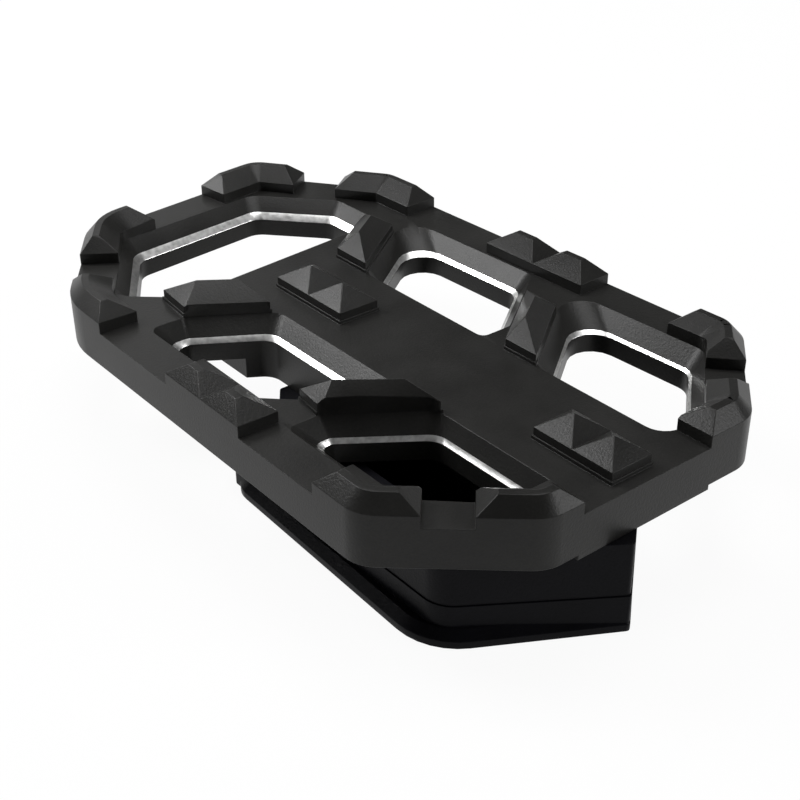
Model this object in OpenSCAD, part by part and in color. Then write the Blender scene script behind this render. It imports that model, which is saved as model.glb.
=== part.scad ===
// Brake pedal extension: a wide toothed foot plate with five beveled openings,
// a riser block under its spine and a flanged clamp plate, held by four
// countersunk screws driven from below. Millimetres.
// The clamp plate rests flat on z = 0, with z up and the long side along x.

/* [Foot plate] */
// Length along x
plate_length = 94.3; // [82:0.1:110]
// Width along y
plate_width = 57.8; // [50:0.1:70]
// Left end standing out further than the right end
plate_left_shift = 0.85; // [0:0.05:3]
// Back edge standing out further than the front edge
plate_back_shift = 0.3; // [0:0.05:2]
// Thickness of the rims and webs
plate_thick = 4.8; // [3.5:0.1:7]
// Radius of the outer corners
corner_radius = 4.5; // [2:0.1:8]
// Radius of the front left corner
front_left_radius = 12.5; // [5:0.5:16]
// Radius of the corner at the front of the left edge
left_radius = 9; // [3:0.5:12]
// Front left corner cut along x
front_left_cut_x = 22.9; // [14:0.1:26]
// Front left corner cut along y
front_left_cut_y = 13; // [10:0.1:22]
// Front right corner cut along x
front_right_cut_x = 12.3; // [6:0.1:18]
// Front right corner cut along y
front_right_cut_y = 14; // [6:0.1:18]
// Back right corner cut along x
back_right_cut_x = 12.9; // [6:0.1:18]
// Back right corner cut along y
back_right_cut_y = 14.2; // [6:0.1:18]
// Back left corner cut along x
back_left_cut_x = 18.3; // [8:0.1:22]
// Back left corner cut along y
back_left_cut_y = 15.3; // [8:0.1:20]
// Fall of the back edge towards the left
back_edge_fall = 1.8; // [0:0.1:3]
// Lean of the left edge along x
left_edge_lean = 3.7; // [0:0.1:5]

/* [Openings] */
// Width of the front rim
rim_front = 5.2; // [3.5:0.1:8]
// Width of the back rim
rim_back = 5.4; // [3.5:0.1:8]
// Width of the left rim
rim_left = 6.2; // [4.5:0.1:8]
// Width of the right rim
rim_right = 4.7; // [3.5:0.1:8]
// Front edge of the central bar, from the middle
bar_front = 8.6; // [7:0.1:12]
// Back edge of the central bar, from the middle
bar_back = 6.5; // [5:0.1:10]
// Wide corner radius of a pocket and its opening
wide_radius = 2.6; // [1.5:0.1:2.8]
// Tight corner radius of a pocket and its opening
tight_radius = 1; // [0.5:0.1:1.1]
// Radius at the left end of the front left window
end_radius = 1.6; // [0.5:0.1:1.6]
// Radius at the back left of a back window
round_radius = 3.2; // [2:0.1:4]
// Inward run of the sloped pocket wall
slope_run = 1.5; // [1:0.1:1.6]
// Upright wall under the bare bevel
wall_under = 2.4; // [1.5:0.1:2.8]
// Bare bevel of the left opening
bevel_left = 0.85; // [0.3:0.05:1]
// Bare bevel of the back left window
bevel_back_left = 0.5; // [0.25:0.05:0.7]
// Bare bevel of the back right window
bevel_back_right = 0.35; // [0.25:0.05:0.7]
// Bare bevel of the front left window
bevel_front_left = 0.6; // [0.25:0.05:0.7]
// Bare bevel of the front right window
bevel_front_right = 0.5; // [0.25:0.05:0.7]
// Openings set off to the right of their pockets
opening_shift_x = 0.6; // [0:0.05:0.7]
// Openings set off to the front of their pockets
opening_shift_y = 0.4; // [0:0.05:0.5]
// Front right opening set off to the back of its pocket
front_right_shift_y = 0.4; // [0:0.05:0.5]
// Front right cut of the left opening, along x
left_front_cut_x = 5.8; // [4:0.1:8]
// Front right cut of the left opening, along y
left_front_cut_y = 6.7; // [5:0.1:8]
// Front end of the left opening, from the front rim
left_front_step = 1.2; // [0:0.1:4]
// Back end of the left opening, from the back rim
left_back_step = 5.4; // [2:0.1:8]
// Right side of the left opening at its front end
left_right_x = -19; // [-22:0.1:-17]
// Lean of that right side over its length
left_right_lean = 3.4; // [0:0.1:5]
// Front left cut of the left opening, along x
left_cut_x = 14.4; // [11:0.1:16]
// Front left cut of the left opening, along y
left_cut_y = 9; // [7:0.1:11]
// Back left cut of the left opening, along x
left_back_cut_x = 9.9; // [7:0.1:12]
// Back left cut of the left opening, along y
left_back_cut_y = 8.9; // [7:0.1:11]
// Lean of the left side of the left opening
left_side_lean = 2.5; // [0:0.1:4]
// Left end of the back left window
back_left_x = -18.6; // [-20:0.1:-17]
// Right end of the back left window
back_mid_x = 12.8; // [11:0.1:15]
// Upright right end of the back left window
back_mid_end = 4.5; // [4.5:0.1:6]
// Left end of the back right window
back_right_x = 13.4; // [12:0.1:16]
// Slanted side of a back window, along x
slant_x = 8.7; // [7:0.1:11]
// Slanted side of a back window, along y
slant_y = 12; // [10:0.1:13]
// Fall of the back side of a back window towards the left
window_fall = 1; // [0:0.1:1.6]
// Back right cut of the back right window, along x
back_end_cut_x = 9.6; // [8:0.1:11]
// Back right cut of the back right window, along y
back_end_cut_y = 10.9; // [9:0.1:12]
// Left end of the front left window
front_left_x = -14.3; // [-16:0.1:-13]
// Right end of the front left window
front_mid_x = 16.6; // [15:0.1:18]
// Left slant of the front left window, along x
front_slant_x = 6.3; // [5:0.1:8]
// Left slant of the front left window, along y
front_slant_y = 9.9; // [8:0.1:11]
// Front right cut of the front left window, along x
front_mid_cut_x = 10; // [8:0.1:12]
// Front right cut of the front left window, along y
front_mid_cut_y = 10.2; // [8:0.1:11]
// Left end of the front right window
front_right_x = 15; // [13.5:0.1:17]
// Left slant of the front right window, along x
right_slant_x = 7.6; // [6:0.1:9]
// Left slant of the front right window, along y
right_slant_y = 10.6; // [8:0.1:11]
// Front right cut of the front right window, along x
front_end_cut_x = 9.6; // [8:0.1:11]
// Front right cut of the front right window, along y
front_end_cut_y = 10.1; // [8:0.1:11]

/* [Teeth] */
// Height of the upright wall of a tooth
tooth_wall = 1.4; // [0.8:0.1:2.5]
// Height of the top of a rim tooth
tooth_top = 3.1; // [2:0.1:5]
// Height of the top of a bar tooth
peak_top = 3.4; // [2.2:0.1:5]
// Setback of the outer edge of a rim ridge
ridge_outer = 1.6; // [1:0.1:3]
// Width of the flat of a rim ridge
ridge_flat = 0.9; // [0.3:0.1:1.5]
// Width of a rim tooth
tooth_width = 5.2; // [4:0.1:7]
// Run of the sloped end of a corner tooth
corner_end_run = 2.1; // [1:0.1:4]
// Front right tooth, along the front edge
front_right_leg = 7.2; // [3:0.1:12]
// Front right tooth, along the slanted edge
front_right_leg_2 = 6.2; // [3:0.1:8]
// Right front tooth, along the slanted edge
right_front_leg = 7.2; // [3:0.1:8]
// Right front tooth, along the right edge
right_front_leg_2 = 4.5; // [3:0.1:10]
// Right back tooth, along the right edge
right_back_leg = 6.5; // [3:0.1:10]
// Right back tooth, along the slanted edge
right_back_leg_2 = 7; // [3:0.1:9]
// Back right tooth, along the slanted edge
back_right_leg = 6.9; // [3:0.1:9]
// Back right tooth, along the back edge
back_right_leg_2 = 7.3; // [3:0.1:12]
// Back left tooth, along the back edge
back_left_leg = 8.4; // [3:0.1:14]
// Back left tooth, along the slanted edge
back_left_leg_2 = 8; // [3:0.1:12]
// Left back tooth, along the slanted edge
left_back_leg = 8.4; // [3:0.1:10]
// Left back tooth, along the left edge
left_back_leg_2 = 9.8; // [3:0.1:14]
// Left front tooth, along the left edge
left_front_leg = 7.6; // [3:0.1:12]
// Left front tooth, along the slanted edge
left_front_leg_2 = 9.8; // [3:0.1:12]
// Front left tooth, along the slanted edge
front_left_leg = 5.9; // [3:0.1:10]
// Front left tooth, along the front edge
front_left_leg_2 = 8.2; // [3:0.1:14]
// Front pair of teeth, from the front left corner
front_pair_start = 23.6; // [14:0.1:30]
// Back pair of teeth, from the back right corner
back_pair_start = 21.2; // [14:0.1:30]
// Run of the sloped end of a double tooth
double_end_run = 2.7; // [2:0.1:4]
// Plinth round the foot of a bar tooth
plinth = 0.15; // [0.05:0.05:0.4]
// Height of the plinth
plinth_high = 0.45; // [0.2:0.05:1]
// Length of one tooth of the back pair
back_pitch = 8.6; // [7:0.1:10]
// Length of one tooth of the front pair
front_pitch = 7.5; // [7:0.1:10]
// Length of one tooth of the left middle pair
left_pitch = 6.7; // [5:0.1:8]
// Length of one tooth of the right middle pair
right_pitch = 5.7; // [5:0.1:8]
// Depth of a middle tooth across the bar
middle_depth = 5.8; // [4:0.1:8]
// Left middle pair, its left end along x
left_pair_x = -14; // [-20:0.1:-4]
// Left middle pair, its front along y
left_pair_y = -4.7; // [-7:0.1:-1]
// Right middle pair, its left end from the right end of the plate
right_pair_in = 13.2; // [12:0.1:30]
// Right middle pair, its front along y
right_pair_y = -4.5; // [-7:0.1:-1]

/* [Spine and lower block] */
// Depth of the spine below the rims
spine_drop = 2.7; // [1.5:0.1:4]
// Left end of the spine
spine_left = -20; // [-24:0.1:-12]
// Where the spine narrows, along x
spine_narrows = 16; // [10:0.1:17]
// Front of the wide part of the spine
spine_front = -13.9; // [-15:0.1:-12]
// Front of the narrow part of the spine
spine_narrow_front = -8.3; // [-8.6:0.1:-7.8]
// Back of the spine
spine_back = 7.9; // [7.5:0.1:8.8]
// Step of the spine at the right edge
edge_step = 0.6; // [0.2:0.1:1.2]
// Inner end of that step, inside the right rim
edge_run = 1.2; // [1:0.1:3]
// Front end of that step
edge_front = -10.6; // [-11.5:0.1:-9]
// Back end of that step
edge_back = 8.9; // [8.5:0.1:11]
// Right end of the spine, inside the right rim
spine_gap = 0.6; // [0.2:0.1:2]
// Height of the riser block up to the spine
riser_high = 4.5; // [3.5:0.1:10]
// Thickness of the front wall of the riser
riser_wall = 4.5; // [2.5:0.1:5]
// Front left cut of the riser, along x
riser_cut_x = 12; // [8:0.1:14]
// Front left cut of the riser, along y
riser_cut_y = 8.6; // [6:0.1:12]
// Left end of the cavity in the riser
cavity_left = 17; // [14:0.1:20]
// Right end of the cavity in the riser, inside the right end of the plate
cavity_right_in = 6.8; // [6:0.1:10]
// Floor under the cavity
cavity_floor = 1.2; // [0.8:0.1:2]
// Height of the clamp plate
clamp_high = 4.5; // [4:0.1:8]
// Upright edge of the clamp flange
flange_edge = 0.9; // [0.5:0.1:2]
// Chamfer on top of the clamp flange
flange_chamfer = 1; // [0.4:0.1:1.6]
// Flange standing out past the riser
flange_out = 2; // [1.1:0.1:3]
// Fall of the flange's front edge towards the left
flange_fall = 1.1; // [0:0.1:1.8]
// Ledge of the clamp plate round the foot of the riser
ledge = 0.15; // [0.05:0.05:0.4]
// Left end of the lower block
block_left = -3.4; // [-8:0.1:0]
// Right end of the lower block, past the foot plate
block_past = 1.9; // [0:0.1:3]
// Front of the lower block
block_front = -20.9; // [-23:0.1:-16]
// Small cut of its front left corner
block_left_cut = 2.6; // [1.5:0.1:5]
// Back of the lower block
block_back = 10.5; // [9.5:0.1:14]
// Corner radius of the riser
block_radius = 4; // [2:0.1:6]
// Front right radius of the flange
flange_radius = 8; // [5:0.5:10]
// Front right cut of the lower block, along x
block_cut_x = 11.2; // [6:0.1:15]
// Front right cut of the lower block, along y
block_cut_y = 16.8; // [10:0.1:19]
// Back right cut of the lower block, along x
block_back_cut_x = 12.4; // [8:0.1:16]
// Height of the pedal channel
channel_high = 4.3; // [4.2:0.1:4.8]
// Width of the pedal channel
channel_wide = 22; // [14:0.1:26]
// Share of the channel cut into the riser
channel_share = 0.6; // [0.4:0.05:0.7]
// Depth of the channel from the back
channel_long = 17.5; // [12:0.1:18]
// Middle of the channel along x
channel_mid = 20; // [17:0.1:22]

/* [Screws] */
// Thread diameter
screw_d = 4; // [3:0.1:5]
// Diametral gap round a screw
screw_gap = 0.2; // [0.1:0.05:0.5]
// Head diameter of a countersunk screw
head_d = 7.6; // [6:0.1:9]
// Length of a screw
screw_long = 14; // [10:0.1:18]
// Recess of the heads below the rest face
head_recess = 0.1; // [0:0.05:0.4]
// Space past the screw tip
tip_gap = 0.6; // [0.2:0.1:1.5]
// Width of the hexagon socket
socket_w = 2.5; // [2:0.1:3]
// Depth of the hexagon socket
socket_deep = 1.4; // [0.8:0.1:1.8]
// Left pair of screws
screw_left_x = 3; // [0:0.1:5]
// Right pair of screws, inside the right end of the plate
screw_right_in = 9.3; // [8:0.1:12]
// Distance between the two of a pair
screw_pitch = 8.6; // [8:0.1:9]
// Middle of each pair along y
screw_mid_y = -0.9; // [-1.1:0.1:0]

/* [Hidden] */
arc_steps = 6;
sharp = 0.6;
over = 1;
black = [0.16, 0.16, 0.16];
steel = [0.55, 0.56, 0.58];

riser_z = clamp_high;
spine_z = riser_z + riser_high;
under_z = spine_z + spine_drop;
top_z = under_z + plate_thick;
left_end = -plate_length / 2 - plate_left_shift;
right_end = plate_length / 2 - plate_left_shift;
screw_right_x = right_end - screw_right_in;
front_end = -plate_width / 2 + plate_back_shift;
back_end = plate_width / 2 + plate_back_shift;

function unit(v) = v / norm(v);

// Corner i of a convex outline moved inwards by d
function moved(P, i, d) =
    let (m = len(P), u = unit(P[i] - P[(i + m - 1) % m]),
         v = unit(P[(i + 1) % m] - P[i]),
         nu = [-u.y, u.x], nv = [-v.y, v.x])
    P[i] + d * (nu + nv) / (1 + nu * nv);

// Outline moved inwards by d, with its corners rounded by radius rr, or by a
// list of radii, one for each corner
function contour(P, rr, d = 0) =
    [for (i = [0 : len(P) - 1])
        let (m = len(P), r = is_list(rr) ? rr[i] : rr, u = unit(P[i] - P[(i + m - 1) % m]),
             v = unit(P[(i + 1) % m] - P[i]),
             q = max(r - d, sharp), c = moved(P, i, d + q),
             a = atan2(-u.x, u.y), t = atan2(cross(u, v), u * v))
        for (k = [0 : arc_steps])
            c + q * [cos(a + t * k / arc_steps), sin(a + t * k / arc_steps)]];

// The same with corners of one radius at any depth, set off by vector s
function pocket(P, R, d, s = [0, 0]) =
    [for (p = contour(P, [for (r = R) r + d], d)) p + s];

function lift(ring, z) = [for (p = ring) [p.x, p.y, z]];

// Solid through a pile of equal rings, bottom ring first
module pile(rings) {
    n = len(rings[0]);
    m = len(rings);
    polyhedron([for (r = rings) each r],
        concat([for (i = [1 : n - 2]) [0, i, i + 1]],
            [for (j = [0 : m - 2]) for (i = [0 : n - 1])
                let (k = (i + 1) % n)
                each [[j * n + i, (j + 1) * n + i, (j + 1) * n + k],
                      [j * n + i, (j + 1) * n + k, j * n + k]]],
            [for (i = [1 : n - 2]) (m - 1) * n * [1, 1, 1] + [0, i + 1, i]]));
}

// Endless moulding through rings that go once round its section
module moulding(rings) {
    n = len(rings[0]);
    m = len(rings);
    polyhedron([for (r = rings) each r],
        [for (j = [0 : m - 1]) for (i = [0 : n - 1])
            let (k = (i + 1) % n, l = (j + 1) % m)
            each [[j * n + i, l * n + i, l * n + k],
                  [j * n + i, l * n + k, j * n + k]]]);
}

outline = [
    [left_end + front_left_cut_x, front_end],
    [right_end - front_right_cut_x, front_end],
    [right_end, front_end + front_right_cut_y],
    [right_end, back_end - back_right_cut_y],
    [right_end - back_right_cut_x, back_end],
    [left_end + back_left_cut_x, back_end - back_edge_fall],
    [left_end, back_end - back_left_cut_y],
    [left_end + left_edge_lean, front_end + front_left_cut_y]];

outline_radii = [front_left_radius, for (i = [1 : 6]) corner_radius, left_radius];

in_front = front_end + rim_front;
in_back = back_end - rim_back;
in_left = left_end + rim_left;
in_right = right_end - rim_right;
left_front = in_front + left_front_step;
left_back = in_back - left_back_step;
left_corner_x = in_left + left_side_lean;
window_back = in_back - back_edge_fall / 2;
slant_run = slant_x / slant_y;

left_opening = [
    [left_corner_x + left_cut_x, left_front],
    [left_right_x, left_front + left_front_cut_y],
    [left_right_x - left_right_lean, left_back],
    [in_left + left_back_cut_x, left_back],
    [in_left, left_back - left_back_cut_y],
    [left_corner_x, left_front + left_cut_y]];

back_left_window = [
    [back_left_x + slant_x, bar_back],
    [back_mid_x, bar_back],
    [back_mid_x, bar_back + back_mid_end],
    [back_mid_x - slant_x, window_back],
    [back_left_x + slant_x - slant_run * (window_back - window_fall - bar_back),
     window_back - window_fall]];

back_right_window = [
    [back_right_x + slant_x, bar_back],
    [in_right, bar_back],
    [in_right, in_back - back_end_cut_y],
    [in_right - back_end_cut_x, in_back + window_fall / 2],
    [back_right_x + slant_x - slant_run * (in_back - window_fall / 2 - bar_back),
     in_back - window_fall / 2]];

front_left_window = [
    [front_left_x, in_front],
    [front_mid_x - front_mid_cut_x, in_front],
    [front_mid_x, in_front + front_mid_cut_y],
    [front_mid_x, -bar_front],
    [front_left_x + front_slant_x, -bar_front],
    [front_left_x, -bar_front - front_slant_y]];

front_right_window = [
    [front_right_x, in_front],
    [in_right - front_end_cut_x, in_front],
    [in_right, in_front + front_end_cut_y],
    [in_right, -bar_front],
    [front_right_x + right_slant_x, -bar_front],
    [front_right_x, -bar_front - right_slant_y]];

// Sloped at the top, with a bevel and an upright wall below
module opening(P, R, bevel, set_off) {
    low = slope_run + bevel;
    sill_z = under_z + wall_under;
    pile([lift(pocket(P, R, low, set_off), spine_z - over),
          lift(pocket(P, R, low, set_off), sill_z),
          lift(pocket(P, R, slope_run, set_off), sill_z + bevel),
          lift(pocket(P, R, 0), top_z),
          lift(pocket(P, R, 0), top_z + peak_top + over)]);
}

module openings() {
    w = wide_radius;
    t = tight_radius;
    s = [opening_shift_x, -opening_shift_y];
    opening(left_opening, [w, w, w, w, w, w], bevel_left, s);
    opening(back_left_window, [w, t, t, w, round_radius], bevel_back_left, s);
    opening(back_right_window, [w, w, w, w, round_radius], bevel_back_right, s);
    opening(front_left_window, [end_radius, w, t, t, w, end_radius],
            bevel_front_left, s);
    opening(front_right_window, [t, w, t, t, w, t], bevel_front_right,
            [opening_shift_x, front_right_shift_y]);
}

// Ridge that the rim teeth are cut from, all round the plate
module rim_ridge() {
    inner = ridge_outer + ridge_flat;
    moulding([lift(contour(outline, outline_radii), top_z - over),
              lift(contour(outline, outline_radii), top_z + tooth_wall),
              lift(contour(outline, outline_radii, ridge_outer), top_z + tooth_top),
              lift(contour(outline, outline_radii, inner), top_z + tooth_top),
              lift(contour(outline, outline_radii, tooth_width), top_z + tooth_wall),
              lift(contour(outline, outline_radii, tooth_width), top_z - over)]);
}

// Everything past point p in direction a, with a sloped end
module past(p, a, run) {
    reach = plate_width / 2;
    rise = tooth_top - tooth_wall;
    translate([p.x, p.y, top_z]) rotate([90, 0, a])
        translate([0, 0, -reach / 2])
            linear_extrude(reach)
                polygon([[0, -2 * over], [0, tooth_wall],
                         [run * 2, tooth_wall + rise * 2],
                         [reach, tooth_wall + rise * 2], [reach, -2 * over]]);
}

// Room for a rim tooth between two ends, each a point and a direction
module tooth_room(p, a, q, b, run) {
    intersection() {
        past(p, a, run);
        past(q, b, run);
    }
}

// Point at distance s along edge i of the outline, counted from its start
function along(i, s) = outline[i] + s * unit(outline[(i + 1) % 8] - outline[i]);
function heading(i) =
    let (e = outline[(i + 1) % 8] - outline[i]) atan2(e.y, e.x);
function edge_long(i) = norm(outline[(i + 1) % 8] - outline[i]);

// Room for a tooth round the corner between edge i and the next one
module corner_tooth(i, before, after) {
    k = (i + 1) % 8;
    tooth_room(along(i, edge_long(i) - before), heading(i),
              along(k, after), heading(k) + 180, corner_end_run);
}

// Room for two teeth side by side on edge i, the first one starting at s
module double_tooth(i, s, pitch) {
    for (n = [0, 1])
        tooth_room(along(i, s + n * pitch), heading(i),
                  along(i, s + (n + 1) * pitch), heading(i) + 180,
                  double_end_run);
}

// Tooth with four upright walls and a ridge between points e and f
module hip_tooth(base, e, f, high = peak_top) {
    polyhedron(
        concat(lift(base, top_z - over), lift(base, top_z + tooth_wall),
               lift([e, f], top_z + high)),
        [[0, 1, 2, 3],
         [0, 4, 5], [0, 5, 1], [1, 5, 6], [1, 6, 2],
         [2, 6, 7], [2, 7, 3], [3, 7, 4], [3, 4, 0],
         [4, 8, 5], [6, 9, 7],
         [5, 8, 9], [5, 9, 6], [7, 9, 8], [7, 8, 4]]);
    foot = [for (i = [0 : 3]) moved(base, i, -plinth)];
    translate([0, 0, top_z - over])
        linear_extrude(over + plinth_high) polygon(foot);
}

// Two low pyramids side by side on the central bar
module middle_teeth(x, y, pitch) {
    for (n = [0, 1]) {
        a = x + n * pitch;
        b = a + pitch;
        m = (a + b) / 2;
        w = y + middle_depth / 2;
        hip_tooth([[a, y], [b, y], [b, y + middle_depth], [a, y + middle_depth]],
                  [m - plinth, w], [m + plinth, w]);
    }
}

module bar_teeth() {
    // Back left, on the web beside the left opening
    hip_tooth([[back_left_x + 2.3, bar_back], [back_left_x + slant_x - 0.2, bar_back],
               [back_left_x + 0.9, bar_back + 10.6], [back_left_x - 4.4, bar_back + 9.6]],
              [back_left_x + 3.4, bar_back + 2.9], [back_left_x + 0.2, bar_back + 7.4]);
    // Back middle, on the web between the two back windows
    hip_tooth([[back_right_x + 3.4, bar_back], [back_right_x + slant_x - 0.1, bar_back],
               [back_right_x + 1.2, bar_back + 10.8], [back_right_x - 4.4, bar_back + 10.8]],
              [back_right_x + 3.5, bar_back + 3], [back_right_x + 0.3, bar_back + 7.6]);
    // Front left, on the web beside the left opening
    hip_tooth([[front_left_x - 5.7, -bar_front - 9.3], [front_left_x + 0.5, -bar_front - 9.8],
               [front_left_x + 5.8, -bar_front - 0.9], [front_left_x - 0.1, -bar_front - 0.6]],
              [front_left_x - 1.8, -bar_front - 6.7], [front_left_x + 1.2, -bar_front - 2.5]);
    // Front middle, on the web between the two front windows
    hip_tooth([[front_right_x - 4, -bar_front - 10.3], [front_right_x + 1, -bar_front - 10.9],
               [front_right_x + 8, -bar_front], [front_right_x + 2.4, -bar_front]],
              [front_right_x - 0.5, -bar_front - 8.4], [front_right_x + 4.4, -bar_front - 2.1]);
}

// Blind bore for a screw, open at the underside of the spine
module thread_bore(x, y) {
    translate([x, y, spine_z - over])
        cylinder(h = head_recess + screw_long + tip_gap - spine_z + over,
                 d = screw_d + screw_gap, $fn = 48);
}

module at_screws() {
    for (x = [screw_left_x, screw_right_x], s = [-1, 1])
        translate([x, screw_mid_y + s * screw_pitch / 2, 0]) children();
}

// Teeth round the corners, anticlockwise from the front right one, and two pairs
module rim_teeth() intersection() {
    rim_ridge();
    union() {
        corner_tooth(0, front_right_leg, front_right_leg_2);
        corner_tooth(1, right_front_leg, right_front_leg_2);
        corner_tooth(2, right_back_leg, right_back_leg_2);
        corner_tooth(3, back_right_leg, back_right_leg_2);
        corner_tooth(4, back_left_leg, back_left_leg_2);
        corner_tooth(5, left_back_leg, left_back_leg_2);
        corner_tooth(6, left_front_leg, left_front_leg_2);
        corner_tooth(7, front_left_leg, front_left_leg_2);
        double_tooth(0, front_pair_start, front_pitch);
        double_tooth(4, back_pair_start, back_pitch);
    }
}

module foot_plate() color(black) difference() {
    union() {
        translate([0, 0, under_z])
            linear_extrude(plate_thick) polygon(contour(outline, outline_radii));
        // Spine under the central bar
        translate([0, 0, spine_z]) linear_extrude(spine_drop + over)
            polygon([[spine_left, spine_front],
                     [spine_narrows, spine_front],
                     [spine_narrows, spine_narrow_front],
                     [in_right - spine_gap, spine_narrow_front],
                     [in_right - spine_gap, spine_back],
                     [spine_left, spine_back]]);
        // Shallow step at the right edge
        translate([0, 0, under_z - edge_step]) linear_extrude(edge_step + over)
            polygon([[in_right - edge_run, edge_front], [right_end, edge_front],
                     [right_end, edge_back], [in_right - edge_run, edge_back]]);
        rim_teeth();
        bar_teeth();
        middle_teeth(left_pair_x, left_pair_y, left_pitch);
        middle_teeth(right_end - right_pair_in, right_pair_y, right_pitch);
    }
    openings();
    for (x = [screw_left_x, screw_right_x], s = [-1, 1])
        thread_bore(x, screw_mid_y + s * screw_pitch / 2);
}

block_right = right_end + block_past;
block_corner_y = block_front + block_cut_y;
block = [
    [block_left + block_left_cut, block_front],
    [block_right - block_cut_x, block_front],
    [block_right, block_corner_y],
    [block_right - block_back_cut_x, block_back],
    [block_left, block_back],
    [block_left, block_front + block_left_cut]];
flange = [
    [block_left + flange_out + block_left_cut,
     block_front - flange_out + flange_fall],
    [block_right - block_cut_x + sharp, block_front - flange_out],
    [block_right + plinth, block_corner_y],
    [block_right - block_back_cut_x, block_back],
    [block_left + flange_out, block_back],
    [block_left + flange_out,
     block_front - flange_out + flange_fall + block_left_cut]];
block_radii = [sharp, block_radius, sharp, block_radius, block_radius, sharp];
flange_radii = [block_radius, flange_radius, sharp, block_radius,
                block_radius, block_radius];

module channel(z, high) {
    translate([channel_mid - channel_wide / 2, block_back - channel_long, z])
        cube([channel_wide, channel_long + over, high]);
}

riser = [
    [block_left + riser_cut_x, block_front],
    [block_right - block_cut_x, block_front],
    [block_right, block_corner_y],
    [block_right - block_back_cut_x, block_back],
    [block_left, block_back],
    [block_left, block_front + riser_cut_y]];

module riser_block() color(black) difference() {
    wall_y = block_front + riser_wall;
    translate([0, 0, riser_z])
        linear_extrude(riser_high + spine_drop - edge_step)
            polygon(contour(riser, block_radii, ledge));
    // Seat of the spine
    translate([block_left - over, wall_y, spine_z])
        cube([in_right - block_left + over, block_back - wall_y + over,
              spine_drop + over]);
    // Cavity in front of the spine
    translate([cavity_left, wall_y, riser_z + cavity_floor])
        cube([right_end - cavity_right_in - cavity_left, spine_narrow_front - wall_y, riser_high]);
    channel(riser_z - over, channel_high * channel_share + over);
    at_screws() translate([0, 0, riser_z - over])
        cylinder(h = riser_high + 2 * over, d = screw_d + screw_gap, $fn = 48);
}

module clamp_plate() color(black) difference() {
    union() {
        linear_extrude(flange_edge) polygon(contour(flange, flange_radii));
        pile([lift(contour(flange, flange_radii), flange_edge),
              lift(contour(flange, flange_radii, flange_chamfer),
                   flange_edge + flange_chamfer)]);
        linear_extrude(clamp_high) polygon(contour(block, block_radii));
    }
    channel(clamp_high - channel_high * (1 - channel_share), clamp_high);
    at_screws() {
        translate([0, 0, -over])
            cylinder(h = clamp_high + 2 * over, d = screw_d + screw_gap, $fn = 48);
        translate([0, 0, -over]) cylinder(h = head_recess + over, d = head_d, $fn = 48);
        translate([0, 0, head_recess])
            cylinder(h = (head_d - screw_d - screw_gap) / 2,
                     d1 = head_d, d2 = screw_d + screw_gap, $fn = 48);
    }
}

module screw(x, s) color(steel)
    translate([x, screw_mid_y + s * screw_pitch / 2, head_recess]) difference() {
        union() {
            cylinder(h = (head_d - screw_d) / 2, d1 = head_d, d2 = screw_d, $fn = 48);
            cylinder(h = screw_long, d = screw_d, $fn = 48);
        }
        translate([0, 0, -over])
            cylinder(h = over + socket_deep, d = socket_w / cos(30), $fn = 6);
    }

module screw_left_front() screw(screw_left_x, -1);
module screw_left_back() screw(screw_left_x, 1);
module screw_right_front() screw(screw_right_x, -1);
module screw_right_back() screw(screw_right_x, 1);

foot_plate();
riser_block();
clamp_plate();
screw_left_front();
screw_left_back();
screw_right_front();
screw_right_back();
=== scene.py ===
import bpy
from math import cos, pi, radians, sin
from mathutils import Matrix, Vector

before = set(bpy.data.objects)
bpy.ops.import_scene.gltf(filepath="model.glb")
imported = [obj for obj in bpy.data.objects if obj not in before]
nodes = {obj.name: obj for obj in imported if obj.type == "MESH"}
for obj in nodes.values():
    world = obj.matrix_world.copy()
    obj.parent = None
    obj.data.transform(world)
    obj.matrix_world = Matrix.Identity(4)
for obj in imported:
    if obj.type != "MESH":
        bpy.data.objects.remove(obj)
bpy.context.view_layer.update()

# The foot plate. One block of aluminium milled from above, with toothed rims and
# cross bars, five windows and a spine below, then bead-blasted and black anodised.
# The last cut round each window goes through the black and leaves a bare bevel.
plate = nodes["foot_plate"]
bevel_low, bevel_high = 0.01405, 0.01505
# Upward part of the normal of a bevel's face: a wall has none, a level face has 1
bevel_steepest, bevel_flattest = 0.2, 0.97
broken_edge = 0.00007
# Facets of a rounding meet at up to 18 degrees, real edges at 30 or more
real_edge = radians(28)
same_point = 0.00003
pit_scale, pit_depth, pit_share = 3600, 0.00004, 0.45
cloud_scale = 130
dark_dye, light_dye = 0.82, 1.2


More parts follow.
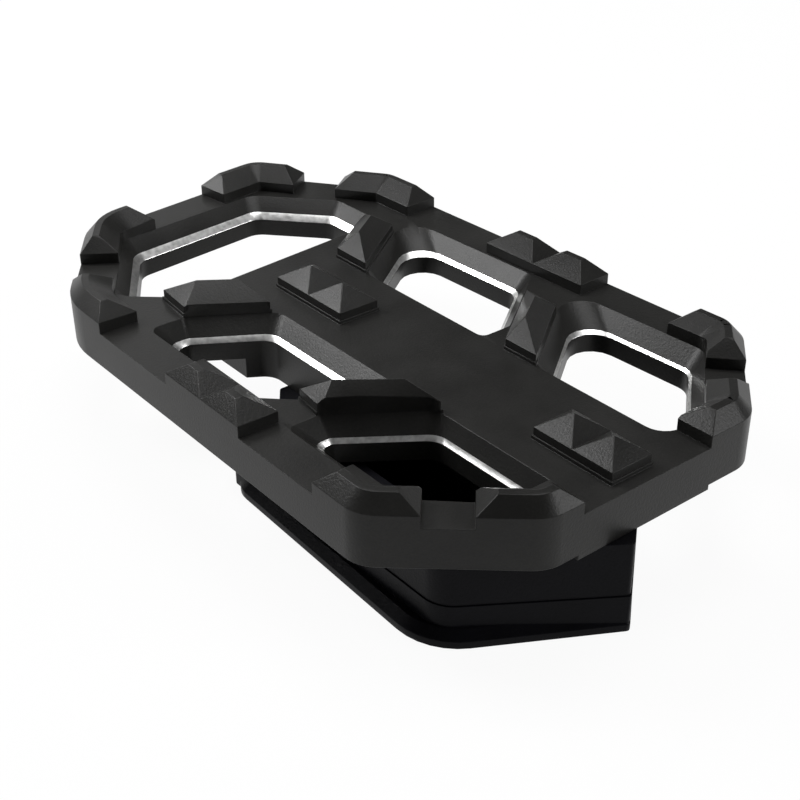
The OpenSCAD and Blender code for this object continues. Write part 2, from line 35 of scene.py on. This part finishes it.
def anodised_black(name, colour, roughness, sheen):
    """Bead-blasted aluminium under a black anodised layer: fine even pits,
    with faint cloudy patches where the dye took more or less."""
    mat = bpy.data.materials.new(name)
    mat.use_nodes = True
    tree = mat.node_tree
    skin = tree.nodes["Principled BSDF"]
    skin.inputs["Specular IOR Level"].default_value = sheen
    place = tree.nodes.new("ShaderNodeTexCoord")
    pits = tree.nodes.new("ShaderNodeTexNoise")
    pits.inputs["Scale"].default_value = pit_scale
    pits.inputs["Detail"].default_value = 3
    cloud = tree.nodes.new("ShaderNodeTexNoise")
    cloud.inputs["Scale"].default_value = cloud_scale
    cloud.inputs["Detail"].default_value = 4
    for texture in (pits, cloud):
        tree.links.new(place.outputs["Object"], texture.inputs["Vector"])

    both = tree.nodes.new("ShaderNodeMath")
    both.operation = "MULTIPLY_ADD"
    both.inputs[1].default_value = pit_share
    tree.links.new(pits.outputs["Fac"], both.inputs[0])
    tree.links.new(cloud.outputs["Fac"], both.inputs[2])
    dye = tree.nodes.new("ShaderNodeValToRGB")
    dye.color_ramp.elements[0].position = 0.55
    dye.color_ramp.elements[1].position = 0.9
    dye.color_ramp.elements[0].color = (*[c * dark_dye for c in colour], 1)
    dye.color_ramp.elements[1].color = (*[c * light_dye for c in colour], 1)
    tree.links.new(both.outputs[0], dye.inputs["Fac"])
    tree.links.new(dye.outputs["Color"], skin.inputs["Base Color"])

    gloss = tree.nodes.new("ShaderNodeMapRange")
    gloss.inputs["To Min"].default_value = roughness - 0.06
    gloss.inputs["To Max"].default_value = roughness + 0.08
    tree.links.new(cloud.outputs["Fac"], gloss.inputs["Value"])
    tree.links.new(gloss.outputs["Result"], skin.inputs["Roughness"])

    blast = tree.nodes.new("ShaderNodeBump")
    blast.inputs["Strength"].default_value = 0.55
    blast.inputs["Distance"].default_value = pit_depth
    tree.links.new(pits.outputs["Fac"], blast.inputs["Height"])
    tree.links.new(blast.outputs["Normal"], skin.inputs["Normal"])
    return mat


def break_edges(piece):
    """Sharp edges of a machined piece, broken by the blasting, with flat
    faces that stay flat in the shading."""
    skin = piece.modifiers.new("one skin", "WELD")
    skin.merge_threshold = same_point
    edge = piece.modifiers.new("broken edges", "BEVEL")
    edge.width = broken_edge
    edge.segments = 2
    edge.limit_method = "ANGLE"
    edge.angle_limit = real_edge
    edge.use_clamp_overlap = False
    shade = piece.modifiers.new("flat shading", "WEIGHTED_NORMAL")
    shade.mode = "FACE_AREA"
    shade.weight = 100
    for face in piece.data.polygons:
        face.use_smooth = True


black = anodised_black("black_anodised", (0.0128, 0.0126, 0.0119), 0.35, 0.19)

bare = bpy.data.materials.new("bare_bevel")
bare.use_nodes = True
bare_tree = bare.node_tree
bright = bare_tree.nodes["Principled BSDF"]
bright.inputs["Metallic"].default_value = 1
place = bare_tree.nodes.new("ShaderNodeTexCoord")
cutter = bare_tree.nodes.new("ShaderNodeTexNoise")
cutter.inputs["Scale"].default_value = 1500
cutter.inputs["Detail"].default_value = 2
tone = bare_tree.nodes.new("ShaderNodeValToRGB")
tone.color_ramp.elements[0].position = 0.3
tone.color_ramp.elements[1].position = 0.6
tone.color_ramp.elements[0].color = (0.74, 0.74, 0.73, 1)
tone.color_ramp.elements[1].color = (0.9, 0.9, 0.89, 1)
polish = bare_tree.nodes.new("ShaderNodeMapRange")
polish.inputs["To Min"].default_value = 0.26
polish.inputs["To Max"].default_value = 0.42
bare_tree.links.new(place.outputs["Object"], cutter.inputs["Vector"])
bare_tree.links.new(cutter.outputs["Fac"], tone.inputs["Fac"])
bare_tree.links.new(tone.outputs["Color"], bright.inputs["Base Color"])
bare_tree.links.new(cutter.outputs["Fac"], polish.inputs["Value"])
bare_tree.links.new(polish.outputs["Result"], bright.inputs["Roughness"])

plate.data.materials.clear()
plate.data.materials.append(black)
plate.data.materials.append(bare)
points = plate.data.vertices
for face in plate.data.polygons:
    heights = [points[i].co.z for i in face.vertices]
    in_band = bevel_low < min(heights) and max(heights) < bevel_high
    if in_band and bevel_steepest < face.normal.z < bevel_flattest:
        face.material_index = 1
break_edges(plate)

# The riser block and the clamp plate under it, milled from the same stock in a
# smoother black.
# Their colour is darker than the foot plate's by painted shade, for the shade
# under the foot plate, and their low sheen keeps the white sheet out of their
# reflections, standing in for the shade that lies on the sheet under the part. The
# pedal's tip sits in the channel between them.
black_with_painted_shade = anodised_black("black_with_painted_shade", (0.0045, 0.0045, 0.0058), 0.34, 0.06)
for name in ("riser_block", "clamp_plate"):
    piece = nodes[name]
    piece.data.materials.clear()
    piece.data.materials.append(black_with_painted_shade)
    break_edges(piece)

# Four countersunk socket screws of black oxide steel, driven in from below.
# They hold the clamp plate, the riser block and the foot plate together.
oxide = bpy.data.materials.new("black_oxide")
oxide.use_nodes = True
oxide_tree = oxide.node_tree
steel = oxide_tree.nodes["Principled BSDF"]
steel.inputs["Metallic"].default_value = 1.0
steel.inputs["Roughness"].default_value = 0.34
place = oxide_tree.nodes.new("ShaderNodeTexCoord")
turned = oxide_tree.nodes.new("ShaderNodeTexNoise")
turned.inputs["Scale"].default_value = 2600.0
shade = oxide_tree.nodes.new("ShaderNodeValToRGB")
shade.color_ramp.elements[0].color = (0.035, 0.036, 0.04, 1)
shade.color_ramp.elements[1].color = (0.07, 0.07, 0.075, 1)
oxide_tree.links.new(place.outputs["Object"], turned.inputs["Vector"])
oxide_tree.links.new(turned.outputs["Fac"], shade.inputs["Fac"])
oxide_tree.links.new(shade.outputs["Color"], steel.inputs["Base Color"])
for name in ("screw_left_front", "screw_left_back",
             "screw_right_front", "screw_right_back"):
    screw = nodes[name]
    screw.data.materials.clear()
    screw.data.materials.append(oxide)
    break_edges(screw)

# The studio: a white sheet that the part stands on, turned up into a low wall
# all round, with soft boxes to the left, behind, to the right and above. The sheet
# shows white to the camera and in reflections, and keeps the part's shadow.
reach, rise, sides = 3.0, 0.5, 48
lean = 1.02
added_white = 0.94
ring = []
for i in range(sides):
    turn = 2 * pi * i / sides
    ring.append((reach * cos(turn), reach * sin(turn)))
sheet_points = [(x, y, 0) for x, y in ring]
sheet_points += [(x * lean, y * lean, rise) for x, y in ring]
sheet_faces = [tuple(range(sides))]
for i in range(sides):
    after = (i + 1) % sides
    sheet_faces.append((i, after, sides + after, sides + i))
floor_mesh = bpy.data.meshes.new("floor")
floor_mesh.from_pydata(sheet_points, [], sheet_faces)
floor = bpy.data.objects.new("floor", floor_mesh)
bpy.context.scene.collection.objects.link(floor)

paper = bpy.data.materials.new("white_paper")
paper.use_nodes = True
floor_mesh.materials.append(paper)
sheet = paper.node_tree
sheet.nodes.clear()
matt = sheet.nodes.new("ShaderNodeBsdfDiffuse")
matt.inputs["Color"].default_value = (0.8, 0.8, 0.8, 1)
glow = sheet.nodes.new("ShaderNodeEmission")
glow.inputs["Strength"].default_value = 1
ray = sheet.nodes.new("ShaderNodeLightPath")
mirrored = sheet.nodes.new("ShaderNodeMath")
mirrored.operation = "MAXIMUM"
sheet.links.new(ray.outputs["Is Glossy Ray"], mirrored.inputs[0])
sheet.links.new(ray.outputs["Is Transmission Ray"], mirrored.inputs[1])
shown = sheet.nodes.new("ShaderNodeMath")
shown.operation = "MAXIMUM"
sheet.links.new(ray.outputs["Is Camera Ray"], shown.inputs[0])
sheet.links.new(mirrored.outputs[0], shown.inputs[1])
share = sheet.nodes.new("ShaderNodeMath")
share.operation = "MULTIPLY"
share.inputs[1].default_value = added_white
sheet.links.new(shown.outputs[0], share.inputs[0])
swap = sheet.nodes.new("ShaderNodeMixShader")
sheet.links.new(share.outputs[0], swap.inputs[0])
sheet.links.new(matt.outputs[0], swap.inputs[1])
sheet.links.new(glow.outputs[0], swap.inputs[2])
end = sheet.nodes.new("ShaderNodeOutputMaterial")
sheet.links.new(swap.outputs[0], end.inputs["Surface"])

world = bpy.data.worlds.new("studio_air")
bpy.context.scene.world = world
world.use_nodes = True
air = world.node_tree.nodes["Background"]
air.inputs["Color"].default_value = (1, 1, 1, 1)
air.inputs["Strength"].default_value = 0.05

aim = Vector((0.004, -0.002, 0.012))
# Each soft box: its name, where it stands, its width in metres and its watts
soft_boxes = (("box_left", (-0.35, -0.20, 0.37), 0.2, 2.2),
              ("box_behind", (-0.44, 0.13, 0.29), 0.24, 0.2),
              ("box_right", (0.46, 0.36, 0.30), 0.26, 1.8),
              ("box_top", (-0.10, 0.12, 0.60), 0.36, 2.3))
for name, stand, width, watts in soft_boxes:
    lamp = bpy.data.lights.new(name, "AREA")
    lamp.size = width
    lamp.energy = watts
    box = bpy.data.objects.new(name, lamp)
    box.location = stand
    towards = aim - Vector(stand)
    box.rotation_euler = towards.to_track_quat("-Z", "Y").to_euler()
    bpy.context.scene.collection.objects.link(box)

# The camera, at the photograph's angle and distance. Its lens and place were
# solved from the straight edges of the plate in the photograph.
eye = (0.12037, -0.0920, 0.09434)
heading, tilt, roll = radians(51.41), radians(59.25), radians(-0.38)
lens = bpy.data.cameras.new("camera")
lens.sensor_fit = "HORIZONTAL"
lens.sensor_width = 36
lens.lens = 62.04
lens.clip_start = 0.005
camera = bpy.data.objects.new("camera", lens)
camera.matrix_world = (Matrix.Translation(eye)
                       @ Matrix.Rotation(heading, 4, "Z")
                       @ Matrix.Rotation(tilt, 4, "X")
                       @ Matrix.Rotation(roll, 4, "Z"))
bpy.context.scene.collection.objects.link(camera)
bpy.context.scene.camera = camera
bpy.context.scene.view_settings.view_transform = "Standard"
